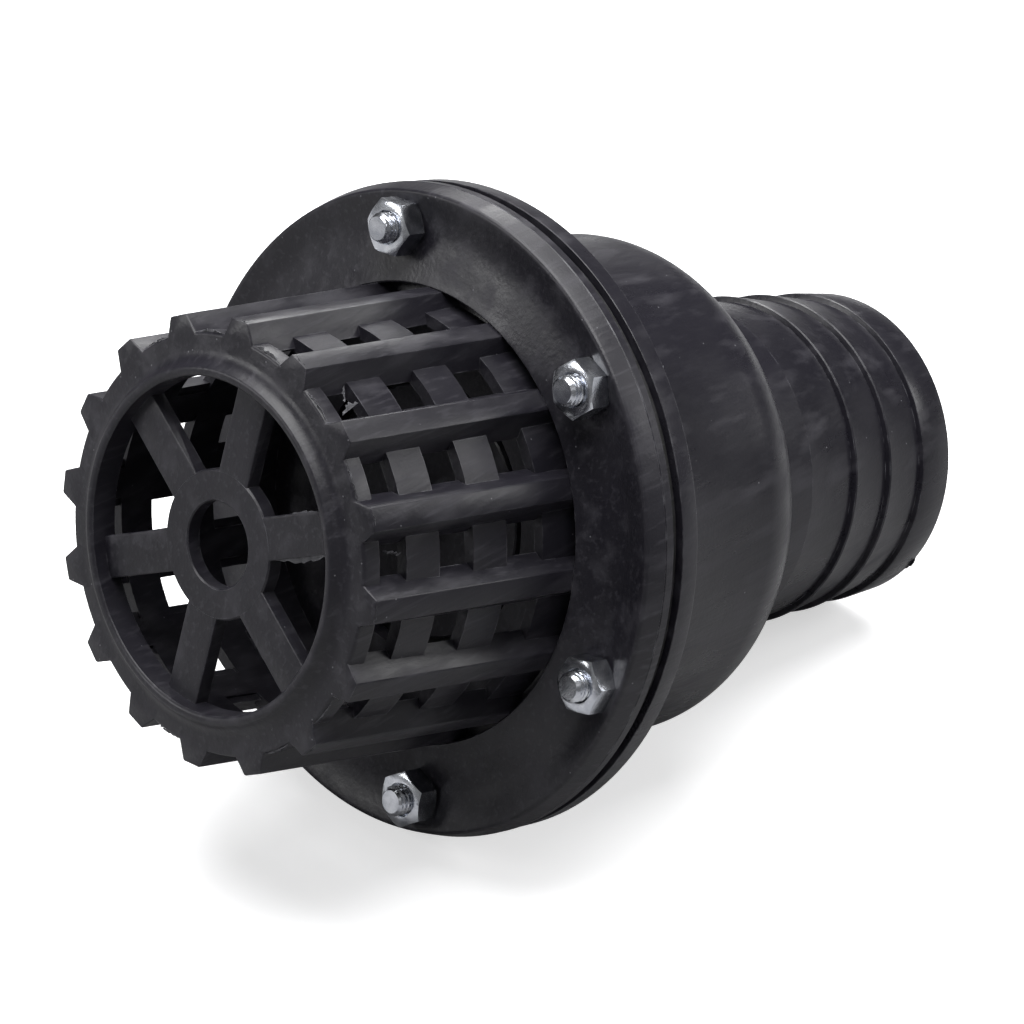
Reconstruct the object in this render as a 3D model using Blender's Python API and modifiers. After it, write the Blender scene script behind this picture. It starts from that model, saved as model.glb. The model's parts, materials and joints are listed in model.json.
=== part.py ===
"""Foot valve for a 65 mm suction hose: strainer basket, flanged body with a barbed tail, and a hinged flap.

The valve is modelled upright, as it hangs in use: Z runs from the strainer (below) to the hose tail (above),
and Z = 0 is the front edge of the strainer's flange. One empty then lays it on its side, resting on the rim of
the body's flange and the end of its tail. Metres throughout.
"""
import math

import bmesh
import bpy
from mathutils import Matrix, Vector

# --- what everything else follows -----------------------------------------------------------------
gap = 0.0003                      # between pieces that touch
segments = 48                     # facets of the large round pieces
small_segments = 24               # facets of the flap's round pieces
shank_segments = 12               # facets of screws and their holes

# flanges and the six bolts that clamp them
front_flange_thickness = 0.0062
gasket_thickness = 0.0020
rear_flange_thickness = 0.0042
front_rim_draft = 0.0013          # the strainer's rim stands this far out past its front edge
rear_rim_draft = 0.0011           # and the body's rim this far
gasket_inset = 0.0005             # the gasket's edge lies this far inside the front edge
nut_seat_depth = 0.0012           # the flange's face lies this far behind its front edge at the nuts
nut_seat_margin = 0.0006          # flat seat beyond the nuts, inward and outward
flange_edge = 0.0014              # from that seat out to the front edge
head_to_bell = 0.0002265          # from a bolt head's corner in to the bell
bolt_count = 6
bolt_turn = math.radians(162.0)
bolt_radius = 0.0030
bolt_end_height = 0.0078          # bolt standing proud of the nut's seat
hex_width = 0.0100                # across flats, bolt heads and nuts
nut_height = 0.0050
bolt_head_height = 0.0040
head_pocket_depth = 0.0014        # hexagonal pockets in the body's flange keep the heads from turning
head_pocket_clearance = 0.0003

# strainer basket
basket_length = 0.0500            # flange edge to the teeth's end faces
basket_root_back = 0.0417         # outside of the shell between the ribs, at the flange
basket_taper = 0.0022             # the shell is this much smaller at the teeth
basket_wall = 0.0022
rib_count = 16
rib_turn = bolt_turn + math.pi / rib_count
rib_height_front = 0.0034
rib_height_back = 0.0029
rib_crest_width = 0.0044
rib_base_width = 0.0074
window_overlap = 0.0002           # the windows reach this far under the ribs on each side
hoops = (0.0038, 0.0081, 0.0083, 0.0060)   # solid bands of the shell, from the end face to the flange
window_parts = (6.5, 8.3, 9.0)    # how the rows of windows share the length between the bands
end_ring_thickness = 0.0034
recess_margin = 0.0026            # from the shell out to the step in the flange's face
recess_depth = 0.0032
face_crown = 0.0006               # the face stands this far proud at that step
mouth_inset = 0.0081              # from the shell's end in to the round mouth
bead_height = 0.0025
bead_width = 0.0022
spider_setback = 0.0006           # spokes and hub, behind the end face
spider_thickness = 0.0030
hub_radius = 0.0141
hub_hole_radius = 0.0082
spoke_count = 6
spoke_turn = math.radians(2.4)
spoke_width = 0.0080
seat_radius = 0.0275              # the bore that the flap closes
seat_thickness = 0.0040

# valve body
body_wall = 0.0040
bell_step = 0.0073                # the bell stands this far outside the basket's shell
bell_flare = 0.0006               # and is this much wider again where the shoulder begins
bell_length = 0.0484              # flange edge to the shoulder
shoulder_steps = 6
neck_length = 0.0143              # shoulder to where the neck starts to narrow
neck_wall = 0.0043
neck_draft = 0.0002
neck_bore_step = 0.0025           # the bore is this much wider in the neck than in the tail
tail_wall = 0.0038                # at the tail's end
barb_count = 3
barb_pitch = 0.0112
barb_crest_radius = 0.0334        # first barb, next to the neck: the size of the hose
barb_crest_drop = 0.0007          # each next one is this much smaller
barb_root_drop = 0.0012           # from a barb's crest to the root before it
barb_face_run = 0.0002
first_barb_run = 0.0139           # end of the neck to the first barb
tail_end_run = 0.0091             # last barb to the end
tail_end_drop = 0.0021            # the tail's end is this much smaller than the first barb
tail_end_chamfer = 0.0006

# flap, cut from the gasket's own sheet
flap_overlap = 0.0060             # the flap reaches this far past the bore's edge
slot_width = 0.0035               # between the flap and the gasket
tongue_half_angle = math.radians(15.0)
hinge_turn = bolt_turn + math.pi / bolt_count   # midway between two bolts
weight_clearance = 0.0010         # the weight is this much smaller than the bore
weight_thickness = 0.0060
plate_clearance = 0.0030          # and the plate, which passes into the bore, this much
plate_thickness = 0.0020
screw_tail = 0.0020               # screw standing proud of its nut

# --- places worked out from those sizes -----------------------------------------------------------
basket_root_front = basket_root_back - basket_taper
recess_radius = basket_root_back + recess_margin
mouth_radius = basket_root_front - mouth_inset
bell_radius_back = basket_root_back + bell_step
bell_radius = bell_radius_back + bell_flare
bolt_circle_radius = bell_radius_back + head_to_bell + hex_width / math.sqrt(3.0)
nut_seat_inner = bolt_circle_radius - hex_width / 2 - nut_seat_margin
nut_seat_outer = bolt_circle_radius + hex_width / 2 + nut_seat_margin
flange_radius = nut_seat_outer + flange_edge      # front edge of the strainer's flange
rim_radius = flange_radius + front_rim_draft
rear_rim_radius = flange_radius + rear_rim_draft
gasket_radius = flange_radius - gasket_inset
tail_end_radius = barb_crest_radius - tail_end_drop
tail_bore_radius = tail_end_radius - tail_wall
neck_bore_radius = tail_bore_radius + neck_bore_step
neck_radius = neck_bore_radius + neck_wall
shoulder_radius = bell_radius - neck_radius
flap_radius = seat_radius + flap_overlap
weight_radius = seat_radius - weight_clearance
plate_radius = seat_radius - plate_clearance
gasket_front = front_flange_thickness + gap
gasket_back = gasket_front + gasket_thickness
body_front = gasket_back + gap
body_flange_back = body_front + rear_flange_thickness
shoulder_end = bell_length + shoulder_radius
neck_end = shoulder_end + neck_length
first_barb = neck_end + first_barb_run
tail_end = first_barb + (barb_count - 1) * barb_pitch + tail_end_run
gasket_inner_radius = flap_radius + slot_width
hinge_radius = flap_radius + slot_width / 2
hinge_height = (gasket_front + gasket_back) / 2
hole_radius = bolt_radius + gap
head_seat = body_flange_back - head_pocket_depth
facet_turn = math.pi / segments   # a flat facet, not an edge, faces the ground


def resting_tilt():
    """Angle of the valve's axis when the body's rim and the tail's end both touch the ground."""
    flat = math.cos(facet_turn)
    run = tail_end - tail_end_chamfer - body_flange_back
    return math.atan2((rear_rim_radius - tail_end_radius) * flat, run)


def clear_scene():
    for item in list(bpy.data.objects):
        bpy.data.objects.remove(item, do_unlink=True)


def new_collection(name):
    collection = bpy.data.collections.new(name)
    bpy.context.scene.collection.children.link(collection)
    return collection


def new_material(name, colour, roughness, metallic=0.0):
    material = bpy.data.materials.new(name)
    material.use_nodes = True
    shader = material.node_tree.nodes["Principled BSDF"]
    shader.inputs["Base Color"].default_value = (*colour, 1.0)
    shader.inputs["Roughness"].default_value = roughness
    shader.inputs["Metallic"].default_value = metallic
    return material


def add_object(name, mesh, collection, material=None):
    item = bpy.data.objects.new(name, mesh)
    collection.objects.link(item)
    if material:
        mesh.materials.clear()
        mesh.materials.append(material)
    return item


def mesh_from(form, name):
    bmesh.ops.recalc_face_normals(form, faces=form.faces[:])
    mesh = bpy.data.meshes.new(name)
    form.to_mesh(mesh)
    form.free()
    return mesh


def shade_round(mesh, angle=35.0):
    mesh.shade_smooth()
    mesh.set_sharp_from_angle(angle=math.radians(angle))


def turned(name, outline, collection, material, steps=segments, turn=0.0):
    """A ring or shell turned about Z from a closed outline of (radius, height) points."""
    form = bmesh.new()
    points = [form.verts.new((radius, 0.0, height)) for radius, height in outline]
    for index, point in enumerate(points):
        form.edges.new((point, points[(index + 1) % len(points)]))
    mesh = bpy.data.meshes.new(name)
    form.to_mesh(mesh)
    form.free()
    item = add_object(name, mesh, collection, material)
    item.rotation_euler.z = turn
    screw = item.modifiers.new("turn", 'SCREW')
    screw.axis = 'Z'
    screw.steps = screw.render_steps = steps
    screw.use_merge_vertices = True
    screw.merge_threshold = 0.00001
    screw.use_smooth_shade = True
    return item


def boolean(item, tool, operation):
    modifier = item.modifiers.new(operation.lower(), 'BOOLEAN')
    modifier.operation = operation
    modifier.solver = 'EXACT'
    modifier.object = tool


def add_tool(name, form, tools):
    tool = add_object(name, mesh_from(form, name), tools)
    tool.hide_render = True
    tool.display_type = 'WIRE'
    return tool


def add_prism(form, radius, low, high, sides, turn=0.0, centre=(0.0, 0.0)):
    """A round or hexagonal prism along Z."""
    place = Matrix.Translation((centre[0], centre[1], (low + high) / 2)) @ Matrix.Rotation(turn, 4, 'Z')
    bmesh.ops.create_cone(form, cap_ends=True, segments=sides, radius1=radius, radius2=radius,
                          depth=high - low, matrix=place)


def add_wedge(form, turn, sections):
    """A bar out from the axis: each section is (height, inner radius, outer radius, inner and outer width)."""
    rings = []
    for height, inner, outer, inner_width, outer_width in sections:
        corners = ((inner, -inner_width / 2), (outer, -outer_width / 2),
                   (outer, outer_width / 2), (inner, inner_width / 2))
        rings.append([form.verts.new(Matrix.Rotation(turn, 3, 'Z') @ Vector((x, y, height))) for x, y in corners])
    for low, high in zip(rings, rings[1:]):
        for side in range(4):
            after = (side + 1) % 4
            form.faces.new((low[side], low[after], high[after], high[side]))
    form.faces.new(rings[0])
    form.faces.new(rings[-1])


def around(count, turn):
    return [turn + 2 * math.pi * index / count for index in range(count)]


def on_circle(radius, turn):
    return radius * math.cos(turn), radius * math.sin(turn)


def hex_radius(width):
    return width / math.sqrt(3.0)


def bolt_hole_tool(tools):
    form = bmesh.new()
    for turn in around(bolt_count, bolt_turn):
        add_prism(form, hole_radius, -0.01, body_flange_back + 0.01, shank_segments,
                  centre=on_circle(bolt_circle_radius, turn))
    return add_tool("bolt_holes", form, tools)


def root_radius(depth):
    """Outside of the basket's shell, at a distance below the flange's edge."""
    return basket_root_back + (basket_root_front - basket_root_back) * depth / basket_length


def window_width(depth):
    """The gap between two ribs at their foot, and a little under each."""
    return 2 * root_radius(depth) * math.sin(math.pi / rib_count) - rib_base_width + 2 * window_overlap


def window_rows():
    """(distance from the end face, length) of each row of windows, between the solid bands."""
    free = basket_length - sum(hoops)
    rows, start = [], hoops[0]
    for part, hoop in zip(window_parts, hoops[1:]):
        length = free * part / sum(window_parts)
        rows.append((start, length))
        start += length + hoop
    return rows


def basket_outline():
    end = -basket_length
    seat_floor = front_flange_thickness - seat_thickness
    bead_out = mouth_radius + bead_width + 0.0004
    return (
        (rim_radius, front_flange_thickness), (rim_radius, front_flange_thickness * 0.7),
        (flange_radius, 0.0005), (flange_radius - 0.0005, 0.0), (nut_seat_outer + 0.0004, 0.0),
        (nut_seat_outer, nut_seat_depth), (nut_seat_inner, nut_seat_depth),
        (recess_radius, -face_crown), (recess_radius, recess_depth), (basket_root_back, recess_depth),
        (basket_root_back, 0.0), (basket_root_front, end + 0.0006), (basket_root_front - 0.0006, end),
        (bead_out + 0.0020, end), (bead_out, end - bead_height + 0.0004),
        (mouth_radius + 0.0012, end - bead_height), (mouth_radius + 0.0002, end - bead_height + 0.0009),
        (mouth_radius, end + end_ring_thickness), (basket_root_front - basket_wall, end + end_ring_thickness + 0.0002),
        (basket_root_back - basket_wall, seat_floor), (seat_radius, seat_floor),
        (seat_radius, front_flange_thickness))


def make_basket(parts, tools, plastic, holes):
    basket = turned("strainer_basket", basket_outline(), parts, plastic, turn=facet_turn)
    end = -basket_length

    inner, outer = basket_root_front - 2 * basket_wall, basket_root_back + 0.002
    windows = bmesh.new()
    for turn in around(rib_count, rib_turn + math.pi / rib_count):
        for start, length in window_rows():
            sections = []
            for height in (end + start, end + start + length):
                width = window_width(-height)
                sections.append((height, inner, outer, width, width))
            add_wedge(windows, turn, sections)
    boolean(basket, add_tool("windows", windows, tools), 'DIFFERENCE')

    ribs = bmesh.new()
    for turn in around(rib_count, rib_turn):
        sections = []
        for height, rise in ((end, rib_height_front), (recess_depth + 0.001, rib_height_back)):
            root = root_radius(-height)
            sections.append((height, root - basket_wall * 0.8, root + rise, rib_base_width, rib_crest_width))
        add_wedge(ribs, turn, sections)
    boolean(basket, add_tool("ribs", ribs, tools), 'UNION')

    low, high = end + spider_setback, end + spider_setback + spider_thickness
    spokes = bmesh.new()
    for turn in around(spoke_count, spoke_turn):
        add_wedge(spokes, turn, [(z, hub_radius * 0.8, mouth_radius + 0.0015, spoke_width, spoke_width)
                                 for z in (low, high)])
    boolean(basket, add_tool("spokes", spokes, tools), 'UNION')
    hub = bmesh.new()
    add_prism(hub, hub_radius, low - 0.00002, high + 0.00002, segments)
    boolean(basket, add_tool("hub", hub, tools), 'UNION')
    eye = bmesh.new()
    add_prism(eye, hub_hole_radius, low - 0.005, high + 0.005, small_segments)
    boolean(basket, add_tool("hub_eye", eye, tools), 'DIFFERENCE')
    boolean(basket, holes, 'DIFFERENCE')
    return basket


def barbs():
    """The tail from its end down to the neck: (radius, height) points of the outside."""
    points = [(tail_end_radius - tail_end_chamfer, tail_end), (tail_end_radius, tail_end - tail_end_chamfer)]
    for index in reversed(range(barb_count)):
        crest = barb_crest_radius - index * barb_crest_drop
        height = first_barb + index * barb_pitch
        points += [(crest, height), (crest - barb_root_drop, height - barb_face_run)]
    return points


def shoulder(radius):
    """A quarter round from the neck's side to the bell's, about the shoulder's own centre."""
    turns = [math.pi / 2 * step / shoulder_steps for step in range(shoulder_steps + 1)]
    return [(neck_radius + radius * math.sin(turn), bell_length + radius * math.cos(turn)) for turn in turns]


def body_outline():
    """Down the outside from the tail's end to the flange, and back up the bore."""
    bore_back = bell_radius_back - body_wall
    neck_inside = shoulder_end - body_wall
    return (
        barbs() + [(neck_radius - neck_draft, neck_end)] + shoulder(shoulder_radius)
        + [(bell_radius_back, body_flange_back), (rear_rim_radius, body_flange_back),
           (rear_rim_radius, body_front), (bore_back, body_front)]
        + shoulder(shoulder_radius - body_wall)[::-1]
        + [(neck_bore_radius, neck_inside), (neck_bore_radius, neck_end),
           (tail_bore_radius, first_barb), (tail_bore_radius, tail_end)])


def make_body(parts, tools, plastic, holes):
    body = turned("valve_body", body_outline(), parts, plastic, turn=facet_turn)
    pockets = bmesh.new()
    for turn in around(bolt_count, bolt_turn):
        add_prism(pockets, hex_radius(hex_width + 2 * head_pocket_clearance), head_seat, body_flange_back + 0.001, 6,
                  turn=turn + math.pi / 6, centre=on_circle(bolt_circle_radius, turn))
    boolean(body, add_tool("head_pockets", pockets, tools), 'DIFFERENCE')
    boolean(body, holes, 'DIFFERENCE')
    return body


def ring(inner, outer, low, high):
    return ((outer, high), (outer, low), (inner, low), (inner, high))


def make_gasket(parts, rubber, holes):
    gasket = turned("flange_gasket", ring(gasket_inner_radius, gasket_radius, gasket_front, gasket_back),
                    parts, rubber, turn=facet_turn)
    boolean(gasket, holes, 'DIFFERENCE')
    return gasket


def make_tongue(parts, rubber):
    """The strip of rubber left across the slot, which bends as the flap opens."""
    form = bmesh.new()
    steps = 6
    rings = []
    for index in range(steps + 1):
        turn = hinge_turn - tongue_half_angle + 2 * tongue_half_angle * index / steps
        corners = ring(flap_radius + gap, gasket_inner_radius - gap, gasket_front, gasket_back)
        rings.append([form.verts.new((*on_circle(radius, turn), height)) for radius, height in corners])
    for here, there in zip(rings, rings[1:]):
        for side in range(4):
            after = (side + 1) % 4
            form.faces.new((here[side], here[after], there[after], there[side]))
    form.faces.new(rings[0])
    form.faces.new(rings[-1])
    return add_object("hinge_tongue", mesh_from(form, "hinge_tongue"), parts, rubber)


def hex_bolt_mesh(name, head_low, head_high, shank_low, shank_high):
    """A hexagonal head on a round shank, joined into one body."""
    form = bmesh.new()
    add_prism(form, hex_radius(hex_width), head_low, head_high, 6, turn=math.pi / 6)
    head = bpy.data.objects.new(name + "_head", mesh_from(form, name + "_head"))
    form = bmesh.new()
    add_prism(form, bolt_radius, shank_low, shank_high, shank_segments)
    shank = bpy.data.objects.new(name + "_shank", mesh_from(form, name + "_shank"))
    for item in (head, shank):
        bpy.context.scene.collection.objects.link(item)
    boolean(head, shank, 'UNION')
    bpy.context.view_layer.update()
    mesh = bpy.data.meshes.new_from_object(head.evaluated_get(bpy.context.evaluated_depsgraph_get()))
    for item in (head, shank):
        bpy.data.objects.remove(item, do_unlink=True)
    shade_round(mesh)
    return mesh


def nut_outline_mesh(name, low, high):
    """A hexagonal nut with a plain hole. Two of its flats face along X: outward and inward, on the flange."""
    form = bmesh.new()
    add_prism(form, hex_radius(hex_width), low, high, 6)
    nut = bpy.data.objects.new(name + "_blank", mesh_from(form, name + "_blank"))
    form = bmesh.new()
    add_prism(form, hole_radius, low - 0.002, high + 0.002, shank_segments)
    hole = bpy.data.objects.new(name + "_hole", mesh_from(form, name + "_hole"))
    for item in (nut, hole):
        bpy.context.scene.collection.objects.link(item)
    boolean(nut, hole, 'DIFFERENCE')
    bpy.context.view_layer.update()
    mesh = bpy.data.meshes.new_from_object(nut.evaluated_get(bpy.context.evaluated_depsgraph_get()))
    for item in (nut, hole):
        bpy.data.objects.remove(item, do_unlink=True)
    shade_round(mesh)
    return mesh


def make_flange_bolts(parts, steel):
    head_low = head_seat + gap
    bolt = hex_bolt_mesh("flange_bolt", head_low, head_low + bolt_head_height,
                         nut_seat_depth - bolt_end_height, head_low + bolt_head_height / 2)
    nut = nut_outline_mesh("flange_nut", nut_seat_depth - gap - nut_height, nut_seat_depth - gap)
    pieces = []
    for index, turn in enumerate(around(bolt_count, bolt_turn), start=1):
        for name, mesh in (("flange_bolt", bolt), ("flange_nut", nut)):
            item = add_object(f"{name}_{index}", mesh, parts, steel)
            item.location = (*on_circle(bolt_circle_radius, turn), 0.0)
            item.rotation_euler.z = turn
            pieces.append(item)
    return pieces


def make_flap(parts, plastic, rubber, iron, steel):
    weight_low = gasket_back + gap
    plate_high = gasket_front - gap
    nut_low = weight_low + weight_thickness + gap
    head_high = plate_high - plate_thickness - gap
    pieces = [
        turned("flap_disc", ring(hole_radius, flap_radius, gasket_front, gasket_back), parts, rubber, segments),
        turned("flap_weight", ring(hole_radius, weight_radius, weight_low, weight_low + weight_thickness),
               parts, iron, small_segments),
        turned("flap_plate", ring(hole_radius, plate_radius, plate_high - plate_thickness, plate_high),
               parts, plastic, small_segments)]
    screw = hex_bolt_mesh("flap_screw", head_high - bolt_head_height, head_high,
                          head_high - bolt_head_height / 2, nut_low + nut_height + screw_tail)
    pieces.append(add_object("flap_screw", screw, parts, steel))
    pieces.append(add_object("flap_nut", nut_outline_mesh("flap_nut", nut_low, nut_low + nut_height), parts, steel))
    return pieces


def add_empty(name, collection):
    empty = bpy.data.objects.new(name, None)
    collection.objects.link(empty)
    return empty


def lay_down(parts, tools, pieces, flap_pieces):
    """Parents everything to the valve's axis and rests it on the ground, centred over the origin."""
    tilt = resting_tilt()
    flat = math.cos(facet_turn)
    height = body_flange_back * math.sin(tilt) + rear_rim_radius * flat * math.cos(tilt)
    tooth = basket_root_front + rib_height_front
    low_end = -basket_length * math.cos(tilt) - tooth * math.sin(tilt)
    high_end = tail_end * math.cos(tilt) + (tail_end_radius - tail_end_chamfer) * math.sin(tilt)
    axis = add_empty("valve_axis", parts)
    axis.location = (-(low_end + high_end) / 2, 0.0, height)
    axis.rotation_euler.y = math.pi / 2 + tilt
    hinge = add_empty("flap_hinge_pivot", parts)
    hinge.location = (*on_circle(hinge_radius, hinge_turn), hinge_height)
    hinge.parent = axis
    for item in [*pieces, *tools.objects]:
        item.parent = axis
    for item in flap_pieces:
        item.parent = hinge
        item.location = item.location - hinge.location


def main():
    clear_scene()
    parts = new_collection("foot_valve")
    tools = new_collection("cutters")
    plastic = new_material("black_plastic", (0.030, 0.029, 0.033), 0.45)
    rubber = new_material("black_rubber", (0.012, 0.012, 0.013), 0.75)
    steel = new_material("plated_steel", (0.70, 0.71, 0.74), 0.25, 1.0)
    iron = new_material("cast_iron", (0.16, 0.15, 0.15), 0.60, 1.0)
    holes = bolt_hole_tool(tools)
    pieces = [make_basket(parts, tools, plastic, holes), make_body(parts, tools, plastic, holes),
              make_gasket(parts, rubber, holes), make_tongue(parts, rubber)]
    pieces += make_flange_bolts(parts, steel)
    lay_down(parts, tools, pieces, make_flap(parts, plastic, rubber, iron, steel))


main()
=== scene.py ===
import json
import math
import random

import bmesh
import bpy
from mathutils import Matrix, Vector


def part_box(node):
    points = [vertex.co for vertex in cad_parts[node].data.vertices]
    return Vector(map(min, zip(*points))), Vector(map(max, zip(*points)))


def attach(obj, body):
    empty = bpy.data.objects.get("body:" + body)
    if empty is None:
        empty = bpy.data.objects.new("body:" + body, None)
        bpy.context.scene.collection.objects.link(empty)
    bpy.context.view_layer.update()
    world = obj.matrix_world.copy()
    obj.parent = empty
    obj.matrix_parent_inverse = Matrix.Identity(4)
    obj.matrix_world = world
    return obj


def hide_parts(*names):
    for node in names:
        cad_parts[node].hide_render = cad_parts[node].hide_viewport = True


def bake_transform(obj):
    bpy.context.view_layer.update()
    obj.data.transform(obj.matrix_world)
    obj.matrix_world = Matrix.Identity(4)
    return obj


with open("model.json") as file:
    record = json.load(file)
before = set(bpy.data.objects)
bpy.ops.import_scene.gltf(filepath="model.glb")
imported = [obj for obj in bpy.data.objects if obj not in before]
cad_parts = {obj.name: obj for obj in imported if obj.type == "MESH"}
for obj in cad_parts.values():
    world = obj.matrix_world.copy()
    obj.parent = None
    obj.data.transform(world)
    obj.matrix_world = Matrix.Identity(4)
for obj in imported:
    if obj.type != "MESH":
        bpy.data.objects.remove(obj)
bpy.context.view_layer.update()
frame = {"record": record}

record = frame["record"]
mm = 0.001

# the valve's own axes: X along it towards the tail, Z up and square to it, angles from Z towards -Y
mounts = {mount["name"]: mount for mount in record["mounts"]}
along = Vector(mounts["hose_tail_end"]["axis"]).normalized()
sideways = Vector((0.0, 1.0, 0.0))
upright = along.cross(sideways).normalized()
gasketCorners = [Vector(corner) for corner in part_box("flange_gasket")]
gasketMiddle = (gasketCorners[0] + gasketCorners[1]) / 2
flange = {"frontToGasketMiddle": 7.5 * mm, "radius": 62.0 * mm}
flangeFront = gasketMiddle - along * flange["frontToGasketMiddle"]
valveToRow = Matrix.Translation(flangeFront) @ Matrix((along, sideways, upright)).transposed().to_4x4()
turns = {"bolts": -18.0, "ribs": -6.75, "spokes": 2.4, "hinge": 12.0}
bolt = {"circle": 55.0, "count": 6, "major": 2.95, "minor": 2.40, "pitch": 1.0, "threaded": 10.0,
        "rowsPerPitch": 10, "steps": 48, "end": -6.6, "headBase": 11.9, "headHeight": 4.0, "headCut": 0.6,
        "across": 10.0, "faceInset": 0.25, "nutBack": 0.9, "nutHeight": 5.0, "nutLead": 0.45,
        "turns": (12, 33, 5, 41, 22, 50), "pocketRadius": 6.1, "pocketFloor": 11.6, "pocketTop": 14.0}
roundSteps = 192
fullTurn = 2 * math.pi


def newObject(name, mesh):
    item = bpy.data.objects.new(name, mesh)
    bpy.context.scene.collection.objects.link(item)
    return item


def meshOf(form, name):
    bmesh.ops.remove_doubles(form, verts=form.verts[:], dist=0.002 * mm)
    bmesh.ops.recalc_face_normals(form, faces=form.faces[:])
    mesh = bpy.data.meshes.new(name)
    form.to_mesh(mesh)
    form.free()
    return mesh


def radial(radius, degrees, s):
    angle = math.radians(degrees)
    return Vector((s, -radius * math.sin(angle), radius * math.cos(angle)))


def turnAbout(degrees):
    return Matrix.Rotation(math.radians(degrees), 4, 'X')


def wire(form, points, closed=True):
    made = [form.verts.new(point) for point in points]
    pairs = list(zip(made, made[1:] + made[:1]))
    edges = [form.edges.new(pair) for pair in (pairs if closed else pairs[:-1])]
    return made + edges


# a profile of (s, r) in millimetres, spun about the valve's axis
def turnedForm(profile, steps=roundSteps, closed=True):
    form = bmesh.new()
    geometry = wire(form, [radial(r * mm, 0.0, s * mm) for s, r in profile], closed)
    bmesh.ops.spin(form, geom=geometry, cent=(0, 0, 0), axis=(1, 0, 0), angle=fullTurn, steps=steps,
                   use_merge=True)
    return form


# a bar that points outward along Z; each end is its place s, its half widths inside and outside, and its
# inner and outer radius
def addBar(form, near, far, soft=0.0, degrees=0.0):
    corners = bmesh.ops.create_cube(form, size=1.0)['verts']
    for corner in corners:
        s, inside, outside, inner, outer = near if corner.co.x < 0 else far
        half, r = (inside, inner) if corner.co.z < 0 else (outside, outer)
        corner.co = Vector((s, half if corner.co.y > 0 else -half, r)) * mm
    made = set(corners)
    if soft:
        above, front = inner * mm + 0.5 * mm, near[0] * mm + 1e-6
        edges = [edge for edge in form.edges if set(edge.verts) <= made
                 and (all(v.co.z > above for v in edge.verts) or all(v.co.x < front for v in edge.verts))]
        result = bmesh.ops.bevel(form, geom=edges, offset=soft * mm, segments=2, profile=0.5, affect='EDGES',
                                 material=-1, offset_type='OFFSET')
        made = {v for v in made if v.is_valid} | {v for v in result['verts']}
    bmesh.ops.transform(form, matrix=turnAbout(degrees), verts=list(made))


def repeatAround(form, count):
    first = form.verts[:] + form.edges[:] + form.faces[:]
    for index in range(1, count):
        copy = bmesh.ops.duplicate(form, geom=first)['geom']
        moved = [item for item in copy if isinstance(item, bmesh.types.BMVert)]
        bmesh.ops.rotate(form, cent=(0, 0, 0), matrix=turnAbout(360.0 * index / count).to_3x3(), verts=moved)


# a round or hexagonal prism along the valve's axis, sizes in millimetres
def addPrism(form, radius, low, high, sides, centre=None, degrees=0.0):
    place = Matrix.Translation((centre or Vector()) + Vector(((low + high) / 2 * mm, 0.0, 0.0)))
    place = place @ turnAbout(degrees) @ Matrix.Rotation(math.pi / 2, 4, 'Y')
    bmesh.ops.create_cone(form, cap_ends=True, segments=sides, radius1=radius * mm, radius2=radius * mm,
                          depth=(high - low) * mm, matrix=place)


def combine(mesh, toolMesh, operation):
    base, tool = newObject("combineBase", mesh), newObject("combineTool", toolMesh)
    modifier = base.modifiers.new("combine", 'BOOLEAN')
    modifier.operation, modifier.solver, modifier.object = operation, 'EXACT', tool
    bpy.context.view_layer.update()
    result = bpy.data.meshes.new_from_object(base.evaluated_get(bpy.context.evaluated_depsgraph_get()))
    bpy.data.objects.remove(base, do_unlink=True)
    bpy.data.objects.remove(tool, do_unlink=True)
    return result


def finishPiece(name, mesh, material, body, replaced=(), sharp=32.0, place=None):
    mesh.transform(place if place is not None else Matrix.Identity(4))
    mesh.transform(valveToRow)
    mesh.materials.clear()
    mesh.materials.append(material)
    mesh.shade_smooth()
    mesh.set_sharp_from_angle(angle=math.radians(sharp))
    piece = newObject(name, mesh)
    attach(piece, body)
    if replaced:
        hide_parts(*replaced)
    return piece


# materials: a Value is a socket that takes operators, and a Graph makes the nodes
class Value:
    def __init__(self, graph, socket):
        self.graph, self.socket = graph, socket

    def math(self, operation, *others):
        return self.graph.node('ShaderNodeMath', [self, *others], operation=operation)

    def __add__(self, other):
        return self.math('ADD', other)

    def __radd__(self, other):
        return self.math('ADD', other)

    def __rsub__(self, other):
        return self.graph.node('ShaderNodeMath', [other, self], operation='SUBTRACT')

    def __mul__(self, other):
        return self.math('MULTIPLY', other)

    def ramp(self, low, high):
        return self.graph.node('ShaderNodeMapRange', {'Value': self, 'From Min': low, 'From Max': high})


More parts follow.
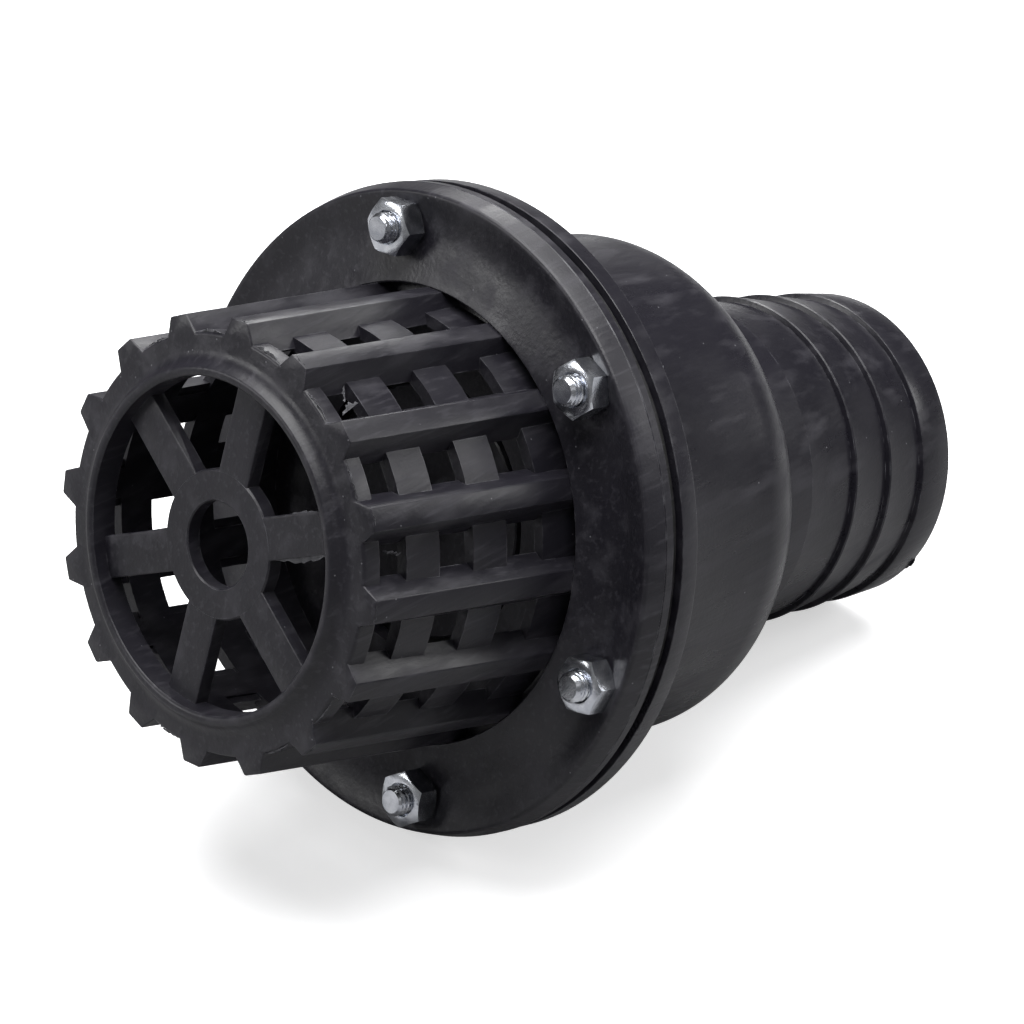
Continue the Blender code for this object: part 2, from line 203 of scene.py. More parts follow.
class Graph:
    def __init__(self, name):
        self.material = bpy.data.materials.new(name)
        self.material.use_nodes = True
        self.tree = self.material.node_tree
        self.shader = self.tree.nodes["Principled BSDF"]

    def put(self, socket, value):
        if isinstance(value, Value):
            self.tree.links.new(value.socket, socket)
        else:
            socket.default_value = value

    def node(self, kind, inputs=(), output=0, **settings):
        made = self.tree.nodes.new(kind)
        for key, value in settings.items():
            setattr(made, key, value)
        pairs = inputs.items() if isinstance(inputs, dict) else enumerate(inputs)
        for key, value in pairs:
            self.put(made.inputs[key], value)
        return Value(self, made.outputs[output])

    def coordinates(self, scale=(1.0, 1.0, 1.0)):
        plain = self.node('ShaderNodeTexCoord', output='Object')
        tilt = math.asin(-along.z)
        return self.node('ShaderNodeMapping', {'Vector': plain, 'Rotation': (0.0, -tilt, 0.0), 'Scale': scale})

    def noise(self, scale, detail=3.0, stretch=(1.0, 1.0, 1.0)):
        return self.node('ShaderNodeTexNoise', {'Vector': self.coordinates(stretch), 'Scale': scale,
                                                'Detail': detail}, output='Fac')

    def mixColour(self, factor, first, second):
        return self.node('ShaderNodeMix', {0: factor, 6: first, 7: second}, output=2, data_type='RGBA')

    def bump(self, height, distance):
        return self.node('ShaderNodeBump', {'Height': height, 'Distance': distance, 'Strength': 1.0})

    def edges(self, radius):
        rounded = self.node('ShaderNodeBevel', {'Radius': radius}, samples=6)
        geometry = self.node('ShaderNodeNewGeometry', output='Normal')
        return 1.0 - self.node('ShaderNodeVectorMath', [rounded, geometry], output='Value',
                               operation='DOT_PRODUCT')

    def specks(self, scale, size, share):
        coordinates = self.coordinates()
        nearest = self.node('ShaderNodeTexVoronoi', {'Vector': coordinates, 'Scale': scale}, output='Distance')
        colour = self.node('ShaderNodeTexVoronoi', {'Vector': coordinates, 'Scale': scale}, output='Color')
        red = self.node('ShaderNodeSeparateColor', {'Color': colour}, output='Red')
        chosen = red.ramp(1.0 - share, 1.0 - share + 0.01)
        return (1.0 - nearest.ramp(size * 0.6, size)) * chosen


def colour4(red, green, blue):
    return (red, green, blue, 1.0)


def plasticMaterial(name, look):
    graph = Graph(name)
    cloud = graph.noise(38.0, 4.0)
    streaks = graph.noise(900.0, 4.0, (0.04, 1.0, 1.0))
    blotch = graph.noise(120.0, 5.0, (0.6, 1.0, 1.0))
    scuffs = graph.noise(210.0, 7.0, (0.25, 1.0, 1.0)).ramp(0.52, 0.72)
    wear = graph.edges(look["wearRadius"]).ramp(0.01, 0.14) * graph.noise(300.0, 7.0).ramp(0.46, 0.66)
    dust = graph.specks(330.0, 0.07, 0.05) + graph.specks(170.0, 0.035, 0.08) + graph.specks(620.0, 0.12, 0.05)
    base = graph.mixColour(cloud.ramp(0.3, 0.7), look["dark"], look["light"])
    base = graph.mixColour(scuffs * 0.45, base, look["scuff"])
    base = graph.mixColour(streaks.ramp(0.55, 0.75) * look["streak"], base, look["scuff"])
    base = graph.mixColour(wear * look["wear"], base, look["worn"])
    base = graph.mixColour(dust * look["dust"], base, look["speck"])
    graph.put(graph.shader.inputs['Base Color'], base)
    roughness = look["roughness"] + blotch.ramp(0.3, 0.7) * 0.14 + scuffs * 0.16 + streaks * 0.08
    graph.put(graph.shader.inputs['Roughness'], roughness)
    graph.put(graph.shader.inputs['Specular IOR Level'], look["specular"])
    grain = graph.noise(1500.0, 2.0)
    height = grain * 0.4 + streaks * 1.0 + cloud * 5.0 + blotch * 2.0
    graph.put(graph.shader.inputs['Normal'], graph.bump(height, look["grain"]))
    return graph.material


def metalMaterial(name, look):
    graph = Graph(name)
    cloud = graph.noise(420.0, 4.0)
    fine = graph.noise(2600.0, 2.0)
    base = graph.mixColour(cloud.ramp(0.35, 0.7), look["dark"], look["light"])
    graph.put(graph.shader.inputs['Base Color'], base)
    graph.put(graph.shader.inputs['Metallic'], look["metallic"])
    graph.put(graph.shader.inputs['Roughness'], look["roughness"] + cloud * look["vary"])
    graph.put(graph.shader.inputs['Normal'], graph.bump(fine + cloud * 2.0, look["grain"]))
    return graph.material


charcoal = {"dark": colour4(0.0086, 0.0080, 0.0116), "light": colour4(0.0150, 0.0141, 0.0190),
            "scuff": colour4(0.046, 0.044, 0.053), "worn": colour4(0.20, 0.20, 0.22),
            "speck": colour4(0.22, 0.22, 0.24), "wear": 0.5, "dust": 0.45, "wearRadius": 0.38 * mm,
            "roughness": 0.26, "grain": 0.05 * mm, "specular": 0.36, "streak": 0.5}
basketPlastic = plasticMaterial("basketPlastic", charcoal)
bodyPlastic = plasticMaterial("bodyPlastic", {**charcoal, "wear": 0.55, "dust": 0.55, "roughness": 0.20,
                                              "streak": 0.1})
rubber = plasticMaterial("sheetRubber", {**charcoal, "dark": colour4(0.008, 0.008, 0.008), "roughness": 0.60,
                                         "light": colour4(0.013, 0.013, 0.013), "wear": 0.2,
                                         "grain": 0.06 * mm})
zinc = metalMaterial("brightZinc", {"dark": colour4(0.50, 0.52, 0.57), "light": colour4(0.80, 0.82, 0.86),
                                    "metallic": 1.0, "roughness": 0.13, "vary": 0.16, "grain": 0.02 * mm})
castIron = metalMaterial("castIron", {"dark": colour4(0.06, 0.055, 0.05), "light": colour4(0.14, 0.13, 0.12),
                                      "metallic": 0.85, "roughness": 0.45, "vary": 0.3, "grain": 0.15 * mm})
whitened = plasticMaterial("whitenedFlash", {**charcoal, "dark": colour4(0.022, 0.022, 0.026), "wear": 0.5,
                                             "light": colour4(0.06, 0.06, 0.066), "roughness": 0.5})
print("materials made")

# strainer basket, sizes in millimetres from the flange's front edge
basket = {"length": 50.0, "rootFront": 39.45, "rootBack": 41.65, "wall": 2.2, "ribs": 16, "ribCrest": 4.4,
          "ribBase": 7.4, "riseFront": 3.4, "riseBack": 2.75, "ribBack": 3.6, "ribSunk": 0.9, "ribSoft": 0.32,
          "windowUnder": 0.3, "windowInner": 34.0, "windowOuter": 44.0,
          "windowRows": ((3.8, 6.5), (18.4, 8.3), (35.0, 9.0)), "mouth": 31.4, "hub": 14.1, "hubHole": 8.2,
          "spokes": 6, "spokeWidth": 8.0, "spokeInner": 10.5, "spokeOuter": 31.9, "spokeSoft": 0.22,
          "spiderSetback": 0.6, "spiderThickness": 3.0, "rim": 63.05, "flange": 6.2, "seat": 27.5}
ribStep = 360.0 / basket["ribs"]


def rootAt(s):
    share = min(1.0, max(0.0, -s / basket["length"]))
    return basket["rootBack"] + (basket["rootFront"] - basket["rootBack"]) * share


def gapAt(s):
    pitch = 2 * rootAt(s) * math.sin(math.pi / basket["ribs"])
    return (pitch - basket["ribBase"]) / 2 + basket["windowUnder"]


def basketShell():
    rim, end, back = basket["rim"], -basket["length"], basket["flange"]
    mouth, seat = basket["mouth"], basket["seat"]
    outside = [(back, rim - 0.15), (6.05, rim), (4.35, rim), (4.2, rim - 0.14), (4.05, rim - 0.02),
               (2.4, rim - 0.45), (0.7, 62.1), (0.3, 61.95), (0.08, 61.7), (0.0, 61.35), (0.06, 60.9),
               (0.45, 59.4), (0.95, 57.6), (1.2, 56.2), (1.28, 55.0), (1.15, 53.4), (0.8, 51.6), (0.1, 47.8),
               (-0.35, 45.4), (-0.5, 44.9), (-0.55, 44.6), (-0.4, 44.35), (3.1, 44.25), (3.25, 44.1),
               (3.25, 42.0), (3.1, 41.75)]
    shell = [(s, rootAt(s)) for s in (0.0, -12.0, -24.0, -36.0, -49.3)]
    ring = [(end + 0.3, 39.35), (end + 0.08, 39.1), (end, 38.8), (end, 36.3), (end - 0.15, 35.6),
            (end - 0.45, 34.9), (end - 0.95, 34.25), (end - 1.6, 33.7), (end - 2.2, 33.35),
            (end - 2.38, 33.15), (end - 2.45, 32.8), (end - 2.45, 32.2), (end - 2.3, 31.85),
            (end - 2.0, 31.6), (end - 0.8, 31.5), (end + 0.6, mouth), (end + 3.2, mouth),
            (end + 3.4, 31.6), (end + 3.5, 36.8), (end + 3.9, 37.2)]
    inside = [(0.0, basket["rootBack"] - basket["wall"]), (2.2, 39.4), (2.2, 28.0), (2.4, 27.6), (5.9, seat),
              (back, 27.8)]
    return meshOf(turnedForm(outside + shell + ring + inside), "basketShell")


def windowTools():
    form = bmesh.new()
    inner, outer = basket["windowInner"], basket["windowOuter"]
    for start, length in basket["windowRows"]:
        low, high = start - basket["length"], start - basket["length"] + length
        near, far = [(s, gapAt(s), gapAt(s), inner, outer) for s in (low, high)]
        addBar(form, near, far)
    bmesh.ops.rotate(form, cent=(0, 0, 0), verts=form.verts[:],
                     matrix=turnAbout(turns["ribs"] + ribStep / 2).to_3x3())
    repeatAround(form, basket["ribs"])
    return meshOf(form, "windowTools")


def ribTools():
    form = bmesh.new()
    ends = []
    sunk = basket["wall"] * basket["ribSunk"]
    for s, rise in ((-basket["length"], basket["riseFront"]), (basket["ribBack"], basket["riseBack"])):
        spread = (basket["ribBase"] - basket["ribCrest"]) / 2 / rise * sunk
        ends.append((s, basket["ribBase"] / 2 + spread, basket["ribCrest"] / 2, rootAt(s) - sunk,
                     rootAt(s) + rise))
    addBar(form, *ends, soft=basket["ribSoft"], degrees=turns["ribs"])
    repeatAround(form, basket["ribs"])
    return meshOf(form, "ribTools")


def spiderTools():
    form = bmesh.new()
    low = -basket["length"] + basket["spiderSetback"]
    high = low + basket["spiderThickness"]
    half, inner, outer = basket["spokeWidth"] / 2, basket["spokeInner"], basket["spokeOuter"]
    addBar(form, (low, half, half, inner, outer), (high, half, half, inner, outer), degrees=turns["spokes"])
    front = [edge for edge in form.edges if all(v.co.x < (low + 0.1) * mm for v in edge.verts)]
    bmesh.ops.bevel(form, geom=front, offset=basket["spokeSoft"] * mm, segments=2, profile=0.5, affect='EDGES',
                    material=-1)
    repeatAround(form, basket["spokes"])
    return meshOf(form, "spiderTools")


def hubTools():
    low = -basket["length"] + basket["spiderSetback"] - 0.03
    high = low + basket["spiderThickness"] + 0.06
    out, hole = basket["hub"], basket["hubHole"]
    profile = [(high, out), (low + 0.3, out), (low, out - 0.3), (low, hole + 0.25), (low + 0.25, hole),
               (high, hole)]
    return meshOf(turnedForm(profile, 96), "hubTools")


def hubEye():
    form = bmesh.new()
    addPrism(form, basket["hubHole"], -basket["length"] - 3.0, -basket["length"] + 6.0, 96)
    return meshOf(form, "hubEye")


def makeBasket():
    mesh = combine(basketShell(), windowTools(), 'DIFFERENCE')
    mesh = combine(mesh, ribTools(), 'UNION')
    mesh = combine(mesh, spiderTools(), 'UNION')
    mesh = combine(mesh, hubEye(), 'DIFFERENCE')
    mesh = combine(mesh, hubTools(), 'UNION')
    return finishPiece("strainerBasketMoulding", mesh, basketPlastic, "root",
                       ["strainer_basket"])


# a thin torn edge of plastic along a path: a ribbon drawn outward by uneven amounts
def raggedFin(form, path, outward, height, thick=0.10):
    ribbon = bmesh.new()
    geometry = wire(ribbon, path, closed=False)
    edges = [item for item in geometry if isinstance(item, bmesh.types.BMEdge)]
    drawn = bmesh.ops.extrude_edge_only(ribbon, edges=edges)['geom']
    raised = [item for item in drawn if isinstance(item, bmesh.types.BMVert)]
    for vertex in raised:
        index = min(range(len(path)), key=lambda k: (path[k] - vertex.co).length)
        ahead = (path[min(index + 1, len(path) - 1)] - path[max(index - 1, 0)]).normalized()
        out = outward(path[index]).normalized()
        across = ahead.cross(out).normalized()
        ends = math.sin(math.pi * (index + 0.4) / (len(path) - 0.2))
        vertex.co += out * height * mm * ends * random.uniform(0.25, 1.0)
        vertex.co += ahead * random.uniform(-0.2, 0.2) * mm + across * random.uniform(-0.3, 0.3) * mm
    bmesh.ops.recalc_face_normals(ribbon, faces=ribbon.faces[:])
    bmesh.ops.solidify(ribbon, geom=ribbon.faces[:] + ribbon.edges[:] + ribbon.verts[:], thickness=thick * mm)
    mesh = bpy.data.meshes.new("ribbon")
    ribbon.to_mesh(mesh)
    ribbon.free()
    form.from_mesh(mesh)
    bpy.data.meshes.remove(mesh)


def outwards(point):
    return Vector((0.0, point.y, point.z))


def arcPath(s, r, low, high, count):
    return [radial(r * mm, low + (high - low) * k / (count - 1), s * mm) for k in range(count)]


# heights of the flash by gap and by rib, counted from the uppermost rib
flash = {"gapPlace": -49.6,
         "gaps": ((-2, 0.5), (-1, 0.7), (0, 0.8), (1, 0.5), (2, 0.35), (5, 0.4), (6, 0.5), (8, 0.4)),
         "ribPlace": -49.5, "ribRadius": 42.75, "ribHalf": 2.6,
         "ribs": ((0, 0.35), (1, 0.4), (3, 0.3), (4, 0.3), (6, 0.3))}


def makeFlash():
    random.seed(11)
    form = bmesh.new()
    place, half = flash["gapPlace"], flash["ribHalf"]
    for index, height in flash["gaps"]:
        middle = turns["ribs"] + ribStep * (index + 0.5)
        raggedFin(form, arcPath(place, rootAt(place), middle - 4.5, middle + 5.0, 16), outwards, height)
    for index, height in flash["ribs"]:
        middle = turns["ribs"] + ribStep * index
        path = arcPath(flash["ribPlace"], flash["ribRadius"], middle - half, middle + half, 9)
        raggedFin(form, path, outwards, height)
    return finishPiece("mouldingFlash", meshOf(form, "flash"), whitened, "root", sharp=60.0)


torn = {"face": -49.2, "side": 3.95, "step": 0.9, "lower": (15.2, 17), "upper": (21.0, 8),
        "window": 1.5, "curl": 3.5, "curlTurns": 3, "curlPoints": 15, "curlSweep": 300.0}


# bits torn at both edges of one spoke, in one window and, curled up, in another
def makeTornFlash():
    random.seed(4)
    form = bmesh.new()
    degrees = turns["spokes"] + 360.0 / basket["spokes"]
    spokeTurn = math.radians(degrees)
    tangent = Vector((0.0, -math.cos(spokeTurn), -math.sin(spokeTurn)))

    def spokeEdge(start, count, side):
        return [radial((start + torn["step"] * k) * mm, degrees, torn["face"] * mm) + tangent * side * mm
                for k in range(count)]

    raggedFin(form, spokeEdge(*torn["lower"], torn["side"]), lambda point: tangent, 1.3, 0.16)
    raggedFin(form, spokeEdge(*torn["upper"], -torn["side"]), lambda point: -tangent, 0.7, 0.12)
    window = turns["ribs"] + ribStep * torn["window"]
    raggedFin(form, [radial(40.0 * mm, window + 4.6 - 0.3 * k, (-45.9 + 0.55 * k) * mm) for k in range(11)],
              lambda point: radial(1.0, window - 90.0, 0.0) + Vector((0.0, 0.0, 0.2)), 1.5, 0.2)
    raggedFin(form, [radial(39.4 * mm, window - 5.2 + 0.45 * k, (-40.2 - 0.2 * k) * mm) for k in range(12)],
              lambda point: Vector((-1.0, 0.0, 0.1)), 1.2, 0.15)
    curl = turns["ribs"] + ribStep * torn["curl"]
    for turn in range(torn["curlTurns"]):
        loop = []
        size = 0.9 - 0.15 * turn
        for k in range(torn["curlPoints"]):
            angle = math.radians(torn["curlSweep"] * k / (torn["curlPoints"] - 1))
            loop.append(radial((39.0 + size * math.sin(angle)) * mm, curl - 2.6 + 0.5 * turn,
                               (-43.6 + 1.3 * turn + size * math.cos(angle)) * mm))
        raggedFin(form, loop, lambda point: radial(1.0, curl + 90.0, 0.0), 0.45, 0.12)
    return finishPiece("tornFlash", meshOf(form, "tornFlash"), whitened, "root", sharp=60.0)


basketPiece = makeBasket()
makeFlash()
makeTornFlash()
print("basket made", len(basketPiece.data.polygons))

# valve body
body = {"front": 8.8, "flangeBack": 13.0, "rim": 62.9, "bellBack": 48.9, "bell": 49.5, "bellLength": 48.4,
        "shoulder": 15.3, "wall": 4.0, "neckEnd": 78.0, "barbs": ((91.9, 33.35), (103.1, 32.65), (114.3, 31.95)),
        "rootDrop": 1.1, "end": 123.4, "endRadius": 31.2, "bore": 27.5, "neckBore": 30.0, "neckBoreStart": 59.7}


def arc(radius, steps, reverse=False):
    middle = body["bell"] - body["shoulder"]
    angles = [math.pi / 2 * step / steps for step in range(steps + 1)]
    points = [(body["bellLength"] + radius * math.sin(a), middle + radius * math.cos(a)) for a in angles]
    return points[::-1] if reverse else points


def bodyProfile():
    rim = body["rim"]
    points = [(body["front"], rim - 0.1), (body["front"] + 0.1, rim), (body["flangeBack"] - 0.35, rim - 0.05),
              (body["flangeBack"] - 0.1, rim - 0.15), (body["flangeBack"], rim - 0.5),
              (body["flangeBack"], body["bellBack"] + 1.0), (body["flangeBack"] + 0.3, body["bellBack"] + 0.3),
              (body["flangeBack"] + 1.0, body["bellBack"])]
    points += arc(body["shoulder"], 24)
    neck = body["bell"] - body["shoulder"]
    points += [(body["neckEnd"] - 8.0, neck - 0.05), (body["neckEnd"], neck - 0.2),
               (body["neckEnd"] + 0.06, neck - 0.34)]
    for s, crest in body["barbs"]:
        points += [(s - 0.55, crest - body["rootDrop"] - 0.03), (s - 0.25, crest - body["rootDrop"]),
                   (s - 0.08, crest - 0.5), (s + 0.06, crest - 0.14), (s + 0.4, crest)]
    points += [(body["end"] - 0.6, body["endRadius"]), (body["end"] - 0.25, body["endRadius"] - 0.12),
               (body["end"] - 0.08, body["endRadius"] - 0.32), (body["end"], body["endRadius"] - 0.6),
               (body["end"], body["bore"] + 0.5),
               (body["end"] - 0.4, body["bore"]), (body["barbs"][0][0], body["bore"]),
               (body["neckEnd"], body["neckBore"]), (body["neckBoreStart"], body["neckBore"])]
    points += arc(body["shoulder"] - body["wall"], 16, reverse=True)
    inside = body["bellBack"] - body["wall"]
    points += [(body["flangeBack"], inside), (body["front"], inside)]
    return points


def headPockets():
    form = bmesh.new()
    addPrism(form, bolt["pocketRadius"], bolt["pocketFloor"], bolt["pocketTop"], 6,
             centre=radial(bolt["circle"] * mm, 0.0, 0.0))
    bmesh.ops.rotate(form, cent=(0, 0, 0), verts=form.verts[:], matrix=turnAbout(turns["bolts"]).to_3x3())
    repeatAround(form, bolt["count"])
    return meshOf(form, "headPockets")


def makeBody():
    mesh = combine(meshOf(turnedForm(bodyProfile()), "valveBody"), headPockets(), 'DIFFERENCE')
    return finishPiece("valveBodyMoulding", mesh, bodyPlastic, "root", ["valve_body"],
                       sharp=28.0)


burr = {"back": 0.25, "under": 0.3, "from": 117.0, "to": 124.0, "points": 9, "height": 1.0, "thick": 0.25}


# a burr on the lower side of the tail's end
def makeTailBurr():
    random.seed(9)
    form = bmesh.new()
    path = arcPath(body["end"] - burr["back"], body["endRadius"] - burr["under"], burr["from"], burr["to"],
                   burr["points"])
    raggedFin(form, path, outwards, burr["height"], burr["thick"])
    finishPiece("tailBurr", meshOf(form, "tailBurr"), bodyPlastic, "root", sharp=60.0)


bodyPiece = makeBody()
makeTailBurr()
print("body made", len(bodyPiece.data.polygons))

# gasket
gasket = {"front": 6.5, "back": 8.5, "outer": 61.45, "inner": 37.0, "waves": (2, 5, 9, 17), "waveHeight": 0.06}


def makeGasket():
    random.seed(5)
    phases = [random.uniform(0.0, fullTurn) for _ in gasket["waves"]]
    form = turnedForm([(gasket["front"], gasket["outer"]), (gasket["back"], gasket["outer"]),
                       (gasket["back"], gasket["inner"]), (gasket["front"], gasket["inner"])])
    for vertex in form.verts:
        r, angle = math.hypot(vertex.co.y, vertex.co.z), math.atan2(-vertex.co.y, vertex.co.z)
        if r > (gasket["outer"] - 1.0) * mm:
            wave = sum(math.sin(angle * k + phase) for k, phase in zip(gasket["waves"], phases))
            wave = wave * gasket["waveHeight"] * mm
            vertex.co += Vector((0.0, vertex.co.y, vertex.co.z)) / r * wave
    return finishPiece("flangeGasketSheet", meshOf(form, "gasket"), rubber, "root",
                       ["flange_gasket"])


makeGasket()

# bolts and nuts
def hexRadius(degrees, across):
    return across / 2 / math.cos(math.radians(degrees % 60.0 - 30.0))


# a bolt along +X with its tip at 0: a plain shank is drawn out into the thread's ridges, and a round head is
# drawn in to a hexagon
def boltMesh(length):
    rows = int(length / bolt["pitch"] * bolt["rowsPerPitch"])
    cone, corner = bolt["across"] / 2 - bolt["faceInset"], bolt["across"] / math.sqrt(3.0)
    rim = [(bolt["headCut"] * k / 6, cone + (corner - cone) * k / 6) for k in range(7)]
    profile = [(0.0, 0.0)] + [(length * row / rows, bolt["minor"]) for row in range(rows + 1)]
    profile += [(length + u, r) for u, r in rim]
    profile += [(length + bolt["headHeight"] - u, r) for u, r in reversed(rim)]
    profile += [(length + bolt["headHeight"], 0.0)]
    form = turnedForm(profile, bolt["steps"], closed=False)
    for vertex in form.verts:
        u, r = vertex.co.x / mm, math.hypot(vertex.co.y, vertex.co.z)
        degrees = math.degrees(math.atan2(-vertex.co.y, vertex.co.z))
        if r < 0.1 * mm:
            continue
        if r > (bolt["major"] + 0.5) * mm:
            wanted = min(r / mm, hexRadius(degrees, bolt["across"]))
        else:
            phase = (u / bolt["pitch"] - degrees / 360.0) % 1.0
            ridge = min(1.0, max(0.0, 1.7 * (1.0 - abs(2.0 * phase - 1.0)) - 0.35))
            wave = ridge if u < bolt["threaded"] else 1.0
            wanted = min(bolt["minor"] + (bolt["major"] - bolt["minor"]) * wave, bolt["minor"] - 0.15 + u * 1.1)
        vertex.co.y, vertex.co.z = vertex.co.y / r * wanted * mm, vertex.co.z / r * wanted * mm
    return meshOf(form, "bolt")


# a hexagonal nut whose corners are cut back by a shallow cone at both ends
def nutMesh(low, high):
    across, hole, cut = bolt["across"], bolt["major"] + 0.05, bolt["headCut"]
    corner = across / math.sqrt(3.0) + 0.1
    flat, lead = across / 2 - bolt["faceInset"], bolt["nutLead"]
    profile = [(high, hole + 0.35), (high - lead, hole), (low + lead, hole), (low, hole + 0.35),
               (low, flat), (low + cut, corner), (high - cut, corner), (high, flat)]
    form = bmesh.new()
    addPrism(form, across / math.sqrt(3.0), low - 1.0, high + 1.0, 6)
    return combine(meshOf(turnedForm(profile, 96), "nutBlank"), meshOf(form, "hexPrism"), 'INTERSECT')


def makeFasteners():
    whole = boltMesh(bolt["headBase"] - bolt["end"])
    whole.transform(Matrix.Translation((bolt["end"] * mm, 0.0, 0.0)))
    nut = nutMesh(bolt["nutBack"] - bolt["nutHeight"], bolt["nutBack"])
    for index in range(bolt["count"]):
        degrees = turns["bolts"] + 360.0 / bolt["count"] * index
        place = Matrix.Translation(radial(bolt["circle"] * mm, degrees, 0.0)) @ turnAbout(degrees)
        finishPiece(f"flangeBolt{index + 1}", whole.copy(), zinc, "root",
                    [f"flange_bolt_{index + 1}"], place=place)
        finishPiece(f"flangeNut{index + 1}", nut.copy(), zinc, "root",
                    [f"flange_nut_{index + 1}"], place=place @ turnAbout(bolt["turns"][index]))


makeFasteners()
print("fasteners made")

# flap
flap = {"disc": 33.5, "weight": 26.5, "plate": 24.5, "hole": 3.3, "weightBack": 14.8, "plateFront": 4.2,
        "weightFront": 8.8, "plateBack": 6.2, "tongueHalf": 15.0, "tongueSteps": 10, "tongueGap": 0.3,
        "nutBack": 20.1, "screwTip": 22.0, "screwHeadBase": 3.9}


# a flat ring with softened outer edges
def softRing(inner, outer, low, high, soft):
    return [(high, outer - soft), (high - soft, outer), (low + soft, outer), (low, outer - soft),
            (low, inner), (high, inner)]


def makeFlap():
    hole = flap["hole"]
    disc = softRing(hole, flap["disc"], gasket["front"], gasket["back"], 0.2)
    weight = softRing(hole, flap["weight"], flap["weightFront"], flap["weightBack"], 0.8)
    plate = softRing(hole, flap["plate"], flap["plateFront"], flap["plateBack"], 0.3)
    for name, material, slotName, node, profile in (
            ("flapDiscSheet", rubber, "black_rubber", "flap_disc", disc),
            ("flapWeightDisc", castIron, "cast_iron", "flap_weight", weight),
            ("flapPlateDisc", basketPlastic, "black_plastic", "flap_plate", plate)):
        finishPiece(name, meshOf(turnedForm(profile, 96), name), material, "flap", [node])
    screw = boltMesh(flap["screwTip"] - flap["screwHeadBase"])
    screw.transform(Matrix.Translation((flap["screwTip"] * mm, 0.0, 0.0)) @ Matrix.Rotation(math.pi, 4, 'Z'))
    finishPiece("flapScrewBolt", screw, zinc, "flap", ["flap_screw"])
    nut = nutMesh(flap["nutBack"] - bolt["nutHeight"], flap["nutBack"])
    finishPiece("flapNutHex", nut, zinc, "flap", ["flap_nut"])


def makeTongue():
    form = bmesh.new()
    near, far = flap["disc"] + flap["tongueGap"], gasket["inner"] - flap["tongueGap"]
    steps = flap["tongueSteps"]
    radii = [near + (far - near) * step / steps for step in range(steps + 1)]
    first = turns["hinge"] - flap["tongueHalf"]
    section = [radial(r * mm, first, gasket["front"] * mm) for r in radii]
    section += [radial(r * mm, first, gasket["back"] * mm) for r in reversed(radii)]
    bmesh.ops.spin(form, geom=wire(form, section), cent=(0, 0, 0), axis=(1, 0, 0),
                   angle=math.radians(2 * flap["tongueHalf"]), steps=16)
    bmesh.ops.holes_fill(form, edges=[edge for edge in form.edges if edge.is_boundary], sides=0)
    mesh = meshOf(form, "hingeTongue")
    mesh.transform(valveToRow)
    mesh.materials.append(rubber)
    mesh.shade_smooth()
    mesh.set_sharp_from_angle(angle=math.radians(40.0))
    piece = newObject("hingeTongueStrip", mesh)
    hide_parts("hinge_tongue")
    middle = (gasket["front"] + gasket["back"]) / 2 * mm
    ends = [valveToRow @ radial(r * mm, turns["hinge"], middle) for r in (far, near)]
    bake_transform(piece)


makeFlap()
makeTongue()
print("flap made")

# camera, light and floor
view = {"azimuth": -43.30, "elevation": 32.295, "right": -0.318, "down": 0.004, "away": 16.282, "lens": 186.2}


def makeCamera():
    azimuth, elevation = math.radians(view["azimuth"]), math.radians(view["elevation"])
    back = Vector((math.sin(azimuth) * math.cos(elevation), -math.cos(azimuth) * math.cos(elevation),
                   math.sin(elevation)))
    right = Vector((math.cos(azimuth), math.sin(azimuth), 0.0))
    up = back.cross(right)
    camera = bpy.data.objects.new("camera", bpy.data.cameras.new("camera"))
    bpy.context.scene.collection.objects.link(camera)
    camera.data.lens, camera.data.sensor_width = view["lens"], 36.0
    camera.data.clip_end = 20.0
    offset = right * view["right"] - up * view["down"] - back * view["away"]
    place = Matrix((right, up, back)).transposed().to_4x4()
    place.translation = flangeFront - offset * flange["radius"]
    camera.matrix_world = place
    bpy.context.scene.camera = camera


# the paper's camera-only glow is painted light that lightens the shadows on the floor
light = {"world": 0.20, "cameraOnlyFloorGlow": 0.56, "top": 42.0, "rear": 7.0, "front": 0.3, "left": 5.5, "right": 4.0}
# each softbox: its place, the height it aims at above the middle of the floor, and its size, in metres
softboxes = {"top": ((0.05, 0.1, 1.4), 0.0, 1.6), "rear": ((0.9, 0.9, 0.9), 0.06, 0.5),
             "front": ((-0.9, -0.9, 1.0), 0.06, 0.5), "right": ((0.75, -0.72, 0.68), 0.06, 0.55),
             "left": ((-1.1, 0.85, 0.62), 0.08, 0.5)}


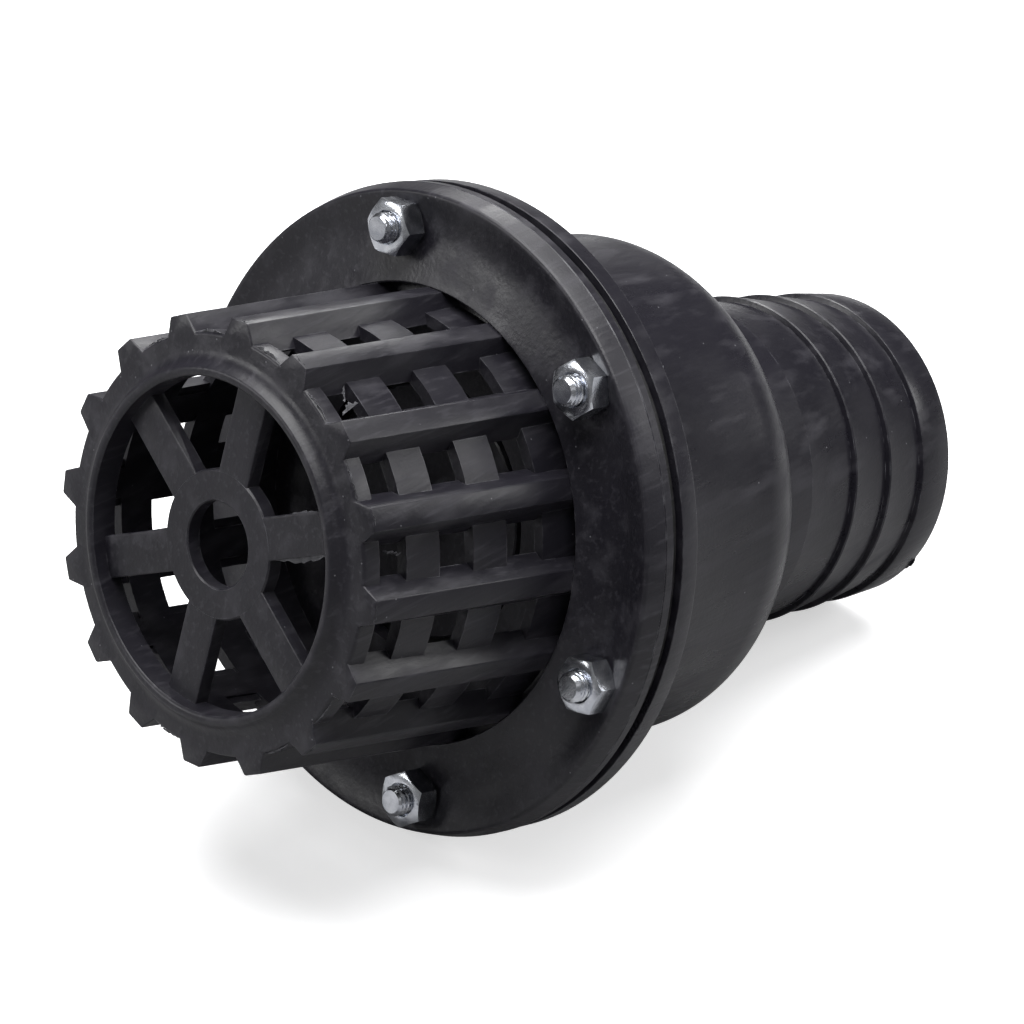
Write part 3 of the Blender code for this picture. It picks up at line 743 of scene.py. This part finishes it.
def areaLight(name, place, target, size, power):
    data = bpy.data.lights.new(name, 'AREA')
    data.shape, data.size, data.energy = 'DISK', size, power
    lamp = bpy.data.objects.new(name, data)
    bpy.context.scene.collection.objects.link(lamp)
    lamp.location = place
    lamp.rotation_euler = (Vector(place) - Vector(target)).to_track_quat('Z', 'Y').to_euler()


def makeStage():
    form = bmesh.new()
    depth = [(-3.0, 0.0), (2.0, 0.0), (2.4, 0.08), (2.7, 0.4), (2.8, 0.9), (2.8, 4.0)]
    rows = [[form.verts.new((x, y, z - 0.00005)) for y, z in depth] for x in (-5.0, 5.0)]
    for index in range(len(depth) - 1):
        form.faces.new((rows[0][index], rows[1][index], rows[1][index + 1], rows[0][index + 1]))
    sweep = newObject("studioSweep", meshOf(form, "studioSweep"))
    sweep.matrix_world = Matrix.Rotation(math.radians(view["azimuth"]), 4, 'Z')
    for polygon in sweep.data.polygons:
        polygon.use_smooth = True
    # painted light on the floor: the paper the camera sees has an added glow that lightens the shadows on it,
    # and a darker copy of the same paper, met by every other ray, is painted shade in what the valve reflects
    # and in the light the floor bounces back onto it
    graph = Graph("sweepPaper")
    tone = graph.noise(1.2, 2.0)
    graph.put(graph.shader.inputs['Base Color'], graph.mixColour(tone, colour4(0.30, 0.30, 0.31),
                                                                colour4(0.32, 0.32, 0.32)))
    graph.put(graph.shader.inputs['Roughness'], 0.9)
    lit = graph.node('ShaderNodeBsdfDiffuse', {'Color': colour4(0.80, 0.80, 0.81)})
    glow = graph.node('ShaderNodeEmission', {'Color': colour4(1.0, 1.0, 1.0), 'Strength': light["cameraOnlyFloorGlow"]})
    glowingPaperForCamera = graph.node('ShaderNodeAddShader', [lit, glow])
    plain = Value(graph, graph.shader.outputs[0])
    cameraRay = graph.node('ShaderNodeLightPath', output='Is Camera Ray')
    shown = graph.node('ShaderNodeMixShader', [cameraRay, plain, glowingPaperForCamera])
    graph.put(graph.tree.nodes['Material Output'].inputs['Surface'], shown)
    sweep.data.materials.append(graph.material)
    world = bpy.data.worlds.new("studio")
    bpy.context.scene.world = world
    world.use_nodes = True
    background = world.node_tree.nodes["Background"]
    background.inputs['Color'].default_value = (1.0, 1.0, 1.0, 1.0)
    background.inputs['Strength'].default_value = light["world"]
    for side, (place, aimHeight, size) in softboxes.items():
        areaLight(side + "Softbox", place, (0.0, 0.0, aimHeight), size, light[side])
    bpy.context.scene.view_settings.view_transform = 'Standard'


makeCamera()
makeStage()
print("stage made")
